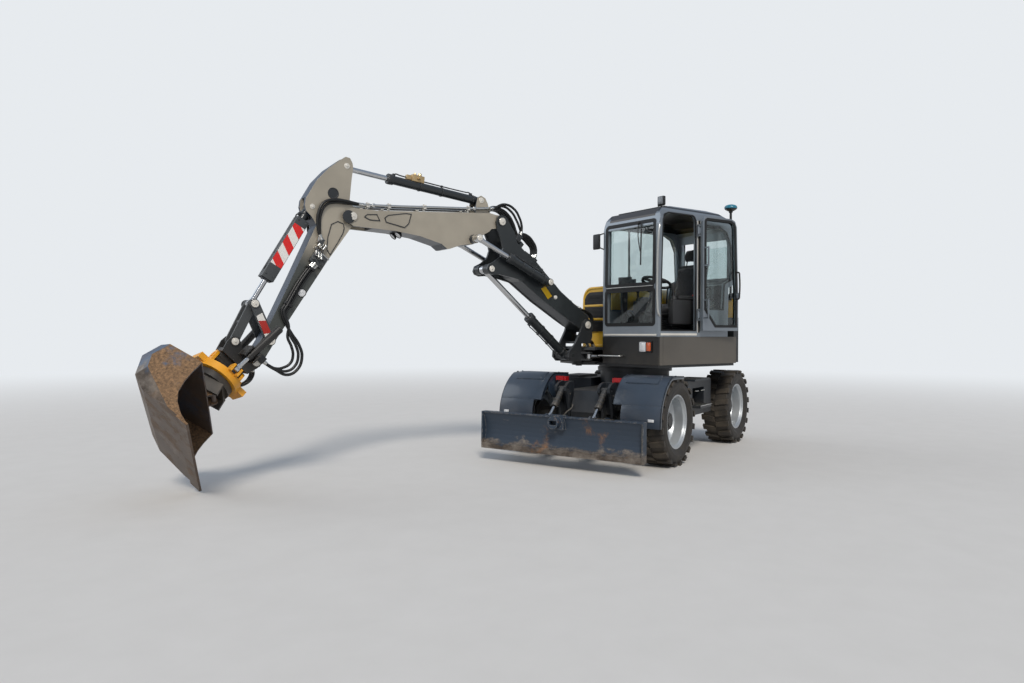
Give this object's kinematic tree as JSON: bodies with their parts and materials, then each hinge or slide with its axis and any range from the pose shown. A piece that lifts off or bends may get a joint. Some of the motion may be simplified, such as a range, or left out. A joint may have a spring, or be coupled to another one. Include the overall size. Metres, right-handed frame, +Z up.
{
  "type": "wheeled excavator",
  "caption": "Compact wheeled excavator with a dozer blade, swinging two-piece boom, stick, tilt rotator and grading bucket, cab door folded open.",
  "frame": {"origin": "centre of the bounding box on the ground plane", "axes": "+X towards the dozer blade along the chassis, +Y to the chassis left, +Z up"},
  "size_m": [7.1173, 3.9005, 3.2307],
  "materials": {
    "dark_paint": "satin paint, dusty",
    "blue_paint": "satin paint, worn",
    "red_lens": "glossy lens",
    "axle_iron": "painted casting, dusty",
    "chrome_rod": "polished",
    "yellow_paint": "gloss paint",
    "black_plastic": "matte",
    "grey_plastic": "matte",
    "lamp_lens": "clear and amber lenses",
    "cab_paint": "metallic paint",
    "window": "clear",
    "seat_cloth": "woven",
    "grey_paint": "satin paint, dusty",
    "zinc_pipe": "zinc plated",
    "worn_steel": "worn, rusted steel",
    "rim_paint": "silver paint",
    "tyre_rubber": "matte rubber, dusty"
  },
  "bodies": {
    "chassis": {"chassis_frame": "dark_paint", "side_boxes": "dark_paint", "fenders": "blue_paint", "tail_lamps": "red_lens", "axle_blade": "axle_iron", "axle_steer": "axle_iron"},
    "blade": {"blade": "blue_paint"},
    "blade_tubes": {"blade_tubes": "dark_paint"},
    "blade_rods": {"blade_rods": "chrome_rod"},
    "wheel_bl": {"rim_bl": "rim_paint", "tyre_bl": "tyre_rubber"},
    "wheel_br": {"rim_br": "rim_paint", "tyre_br": "tyre_rubber"},
    "knuckle_l": {"knuckle_l": "axle_iron"},
    "knuckle_r": {"knuckle_r": "axle_iron"},
    "steer_rod": {"steer_rod": "chrome_rod"},
    "wheel_sl": {"rim_sl": "rim_paint", "tyre_sl": "tyre_rubber"},
    "wheel_sr": {"rim_sr": "rim_paint", "tyre_sr": "tyre_rubber"},
    "upper": {"upper_frame": "dark_paint", "engine": "axle_iron", "counterweight": "dark_paint", "hood": "yellow_paint", "louvres": "black_plastic", "skirts": "grey_plastic", "lamps": "lamp_lens", "cab_shell": "cab_paint", "cab_glass": "window", "seat": "seat_cloth", "console": "black_plastic", "masts": "black_plastic"},
    "door": {"door": "cab_paint", "door_glass": "window"},
    "swing_bracket": {"swing_bracket": "dark_paint"},
    "swing_tube": {"swing_tube": "dark_paint"},
    "swing_rod": {"swing_rod": "chrome_rod"},
    "boom_lower": {"boom_lower": "dark_paint"},
    "lift_tube": {"lift_tube": "dark_paint"},
    "lift_rod": {"lift_rod": "chrome_rod"},
    "boom_upper": {"boom_upper": "grey_paint", "pipes": "zinc_pipe"},
    "adjust_tubes": {"adjust_tubes": "dark_paint"},
    "adjust_rods": {"adjust_rods": "chrome_rod"},
    "stick": {"stick": "grey_paint"},
    "stick_tube": {"stick_tube": "dark_paint"},
    "stick_rod": {"stick_rod": "chrome_rod"},
    "hitch": {"hitch": "dark_paint"},
    "levers": {"levers": "dark_paint"},
    "link": {"link": "dark_paint"},
    "bucket_tube": {"bucket_tube": "dark_paint"},
    "bucket_rod": {"bucket_rod": "chrome_rod"},
    "tilt_body": {"tilt_body": "yellow_paint"},
    "tilt_tube_l": {"tilt_tube_l": "dark_paint"},
    "tilt_rod_l": {"tilt_rod_l": "chrome_rod"},
    "tilt_tube_r": {"tilt_tube_r": "dark_paint"},
    "tilt_rod_r": {"tilt_rod_r": "chrome_rod"},
    "rotor": {"rotor": "dark_paint", "bucket": "worn_steel"}
  },
  "joints": [
    {"name": "blade_lift", "type": "hinge", "parent": "chassis", "child": "blade", "pos_m": [-0.6667, 0.6567, 0.47], "axis": [0, -1, 0], "range_deg": [-15, 18]},
    {"name": "blade_tubes_swing", "type": "hinge", "parent": "chassis", "child": "blade_tubes", "pos_m": [-0.5767, 0.6567, 0.825], "axis": [0, -1, 0], "range_deg": [-8.4, 10.08]},
    {"name": "blade_rods_slide", "type": "slide", "parent": "blade_tubes", "child": "blade_rods", "axis": [0.6954, 0, -0.7186], "range_m": [-0.09944, 0.08295]},
    {"name": "wheel_bl_turn", "type": "hinge", "parent": "chassis", "child": "wheel_bl", "pos_m": [-0.9117, 1.5017, 0.4875], "axis": [0, 1, 0], "continuous": true},
    {"name": "wheel_br_turn", "type": "hinge", "parent": "chassis", "child": "wheel_br", "pos_m": [-0.9117, -0.1883, 0.4875], "axis": [0, 1, 0], "continuous": true},
    {"name": "steer_left", "type": "hinge", "parent": "chassis", "child": "knuckle_l", "pos_m": [-3.0717, 1.3517, 0.4875], "axis": [0, 0, 1], "range_deg": [-25, 25]},
    {"name": "steer_right", "type": "hinge", "parent": "chassis", "child": "knuckle_r", "pos_m": [-3.0717, -0.0383, 0.4875], "axis": [0, 0, 1], "range_deg": [-25.02, 25.02]},
    {"name": "steer_rod_slide", "type": "slide", "parent": "chassis", "child": "steer_rod", "axis": [0, 1, 0], "range_m": [-0.06377, 0.06377]},
    {"name": "wheel_sl_turn", "type": "hinge", "parent": "knuckle_l", "child": "wheel_sl", "pos_m": [-3.0717, 1.5017, 0.4875], "axis": [0, 1, 0], "continuous": true},
    {"name": "wheel_sr_turn", "type": "hinge", "parent": "knuckle_r", "child": "wheel_sr", "pos_m": [-3.0717, -0.1883, 0.4875], "axis": [0, 1, 0], "continuous": true},
    {"name": "slew", "type": "hinge", "parent": "chassis", "child": "upper", "pos_m": [-1.9667, 0.6567, 1.03], "axis": [0, 0, 1], "continuous": true},
    {"name": "door_hinge", "type": "hinge", "parent": "upper", "child": "door", "pos_m": [-1.63185, 1.62348, 2.2], "axis": [0, 0, -1], "range_deg": [0, 175]},
    {"name": "boom_swing", "type": "hinge", "parent": "upper", "child": "swing_bracket", "pos_m": [-1.41152, 0.13538, 1.18], "axis": [0, 0, -1], "range_deg": [-60, 50]},
    {"name": "swing_tube_swing", "type": "hinge", "parent": "upper", "child": "swing_tube", "pos_m": [-2.00505, 0.98991, 1.177], "axis": [0, 0, -1], "range_deg": [-5.22, 6.26]},
    {"name": "swing_rod_slide", "type": "slide", "parent": "swing_tube", "child": "swing_rod", "axis": [0.7209, -0.693, 0], "range_m": [-0.17877, 0.14906]},
    {"name": "lower_boom_lift", "type": "hinge", "parent": "swing_bracket", "child": "boom_lower", "pos_m": [-1.41152, 0.13538, 1.57], "axis": [-0.342, -0.9397, 0], "range_deg": [-30, 30]},
    {"name": "lift_tube_swing", "type": "hinge", "parent": "swing_bracket", "child": "lift_tube", "pos_m": [-1.19069, 0.055, 1.19], "axis": [-0.342, -0.9397, 0], "range_deg": [-29.07, 29.07]},
    {"name": "lift_rod_slide", "type": "slide", "parent": "lift_tube", "child": "lift_rod", "axis": [0.7241, -0.2636, 0.6373], "range_m": [-0.22629, 0.22629]},
    {"name": "upper_boom_fold", "type": "hinge", "parent": "boom_lower", "child": "boom_upper", "pos_m": [-0.18246, -0.31196, 2.74767], "axis": [0.342, 0.9397, 0], "range_deg": [-36, 33]},
    {"name": "adjust_tubes_swing", "type": "hinge", "parent": "boom_lower", "child": "adjust_tubes", "pos_m": [-0.76275, -0.10076, 2.07054], "axis": [-0.342, -0.9397, 0], "range_deg": [-7.53, 8.21]},
    {"name": "adjust_rods_slide", "type": "slide", "parent": "adjust_tubes", "child": "adjust_rods", "axis": [0.8573, -0.312, 0.4094], "range_m": [-0.20259, 0.22097]},
    {"name": "stick_in_out", "type": "hinge", "parent": "boom_upper", "child": "stick", "pos_m": [1.5199, -0.93157, 2.63687], "axis": [0.342, 0.9397, 0], "range_deg": [-25, 62]},
    {"name": "stick_tube_swing", "type": "hinge", "parent": "boom_upper", "child": "stick_tube", "pos_m": [0.03419, -0.39082, 2.97903], "axis": [-0.342, -0.9397, 0], "range_deg": [-8.26, 3.34]},
    {"name": "stick_rod_slide", "type": "slide", "parent": "stick_tube", "child": "stick_rod", "axis": [0.9352, -0.3404, 0.0982], "range_m": [-0.18488, 0.45776]},
    {"name": "bucket_curl", "type": "hinge", "parent": "stick", "child": "hitch", "pos_m": [2.42079, -1.25947, 1.18841], "axis": [-0.342, -0.9397, 0], "range_deg": [-75, 35]},
    {"name": "levers_swing", "type": "hinge", "parent": "stick", "child": "levers", "pos_m": [2.29943, -1.2153, 1.38354], "axis": [-0.342, -0.9397, 0], "range_deg": [-62.11, 29]},
    {"name": "link_swing", "type": "hinge", "parent": "levers", "child": "link", "pos_m": [2.43942, -1.26625, 1.72918], "axis": [-0.342, -0.9397, 0], "range_deg": [-16.59, 35.54]},
    {"name": "bucket_tube_swing", "type": "hinge", "parent": "stick", "child": "bucket_tube", "pos_m": [1.90424, -1.07146, 2.69653], "axis": [-0.342, -0.9397, 0], "range_deg": [-3.15, 6.73]},
    {"name": "bucket_rod_slide", "type": "slide", "parent": "bucket_tube", "child": "bucket_rod", "axis": [0.4767, -0.1735, -0.8617], "range_m": [-0.1669, 0.35707]},
    {"name": "bucket_tilt", "type": "hinge", "parent": "hitch", "child": "tilt_body", "pos_m": [2.64339, -1.34049, 1.14244], "axis": [0.6645, -0.2418, 0.7071], "range_deg": [-55, 20]},
    {"name": "tilt_tube_l_swing", "type": "hinge", "parent": "hitch", "child": "tilt_tube_l", "pos_m": [2.58965, -1.02296, 1.26619], "axis": [0.6645, -0.2418, 0.7071], "range_deg": [-2.55, 0.94]},
    {"name": "tilt_rod_l_slide", "type": "slide", "parent": "tilt_tube_l", "child": "tilt_rod_l", "axis": [0.5951, -0.401, -0.6964], "range_m": [-0.08392, 0.22989]},
    {"name": "tilt_tube_r_swing", "type": "hinge", "parent": "hitch", "child": "tilt_tube_r", "pos_m": [2.39812, -1.54919, 1.26619], "axis": [0.6645, -0.2418, 0.7071], "range_deg": [-1.25, 3.42]},
    {"name": "tilt_rod_r_slide", "type": "slide", "parent": "tilt_tube_r", "child": "tilt_rod_r", "axis": [0.7201, -0.0457, -0.6923], "range_m": [-0.22911, 0.08363]},
    {"name": "bucket_rotate", "type": "hinge", "parent": "tilt_body", "child": "rotor", "pos_m": [2.84195, -1.32875, 0.95987], "axis": [-0.7354, -0.0435, 0.6762], "continuous": true}
  ],
  "couplings": [
    {"joint": "blade_tubes_swing", "follows": "blade_lift", "ratio": 0.5588},
    {"joint": "blade_rods_slide", "follows": "blade_lift", "m_per_rad": -0.31492},
    {"joint": "steer_right", "follows": "steer_left", "ratio": 1},
    {"joint": "steer_rod_slide", "follows": "steer_left", "m_per_rad": -0.145},
    {"joint": "swing_tube_swing", "follows": "boom_swing", "ratio": -0.10409},
    {"joint": "swing_rod_slide", "follows": "boom_swing", "m_per_rad": 0.17024},
    {"joint": "lift_tube_swing", "follows": "lower_boom_lift", "ratio": 0.96842},
    {"joint": "lift_rod_slide", "follows": "lower_boom_lift", "m_per_rad": 0.43123},
    {"joint": "adjust_tubes_swing", "follows": "upper_boom_fold", "ratio": -0.22743},
    {"joint": "adjust_rods_slide", "follows": "upper_boom_fold", "m_per_rad": -0.35088},
    {"joint": "stick_tube_swing", "follows": "stick_in_out", "ratio": -0.13287},
    {"joint": "stick_rod_slide", "follows": "stick_in_out", "m_per_rad": 0.42257},
    {"joint": "levers_swing", "follows": "bucket_curl", "ratio": 0.82792},
    {"joint": "link_swing", "follows": "bucket_curl", "ratio": -0.47356},
    {"joint": "bucket_tube_swing", "follows": "bucket_curl", "ratio": -0.089517},
    {"joint": "bucket_rod_slide", "follows": "bucket_curl", "m_per_rad": -0.2724},
    {"joint": "tilt_tube_l_swing", "follows": "bucket_tilt", "ratio": 0.045955},
    {"joint": "tilt_rod_l_slide", "follows": "bucket_tilt", "m_per_rad": -0.23897},
    {"joint": "tilt_tube_r_swing", "follows": "bucket_tilt", "ratio": -0.06177},
    {"joint": "tilt_rod_r_slide", "follows": "bucket_tilt", "m_per_rad": 0.23816}
  ]
}
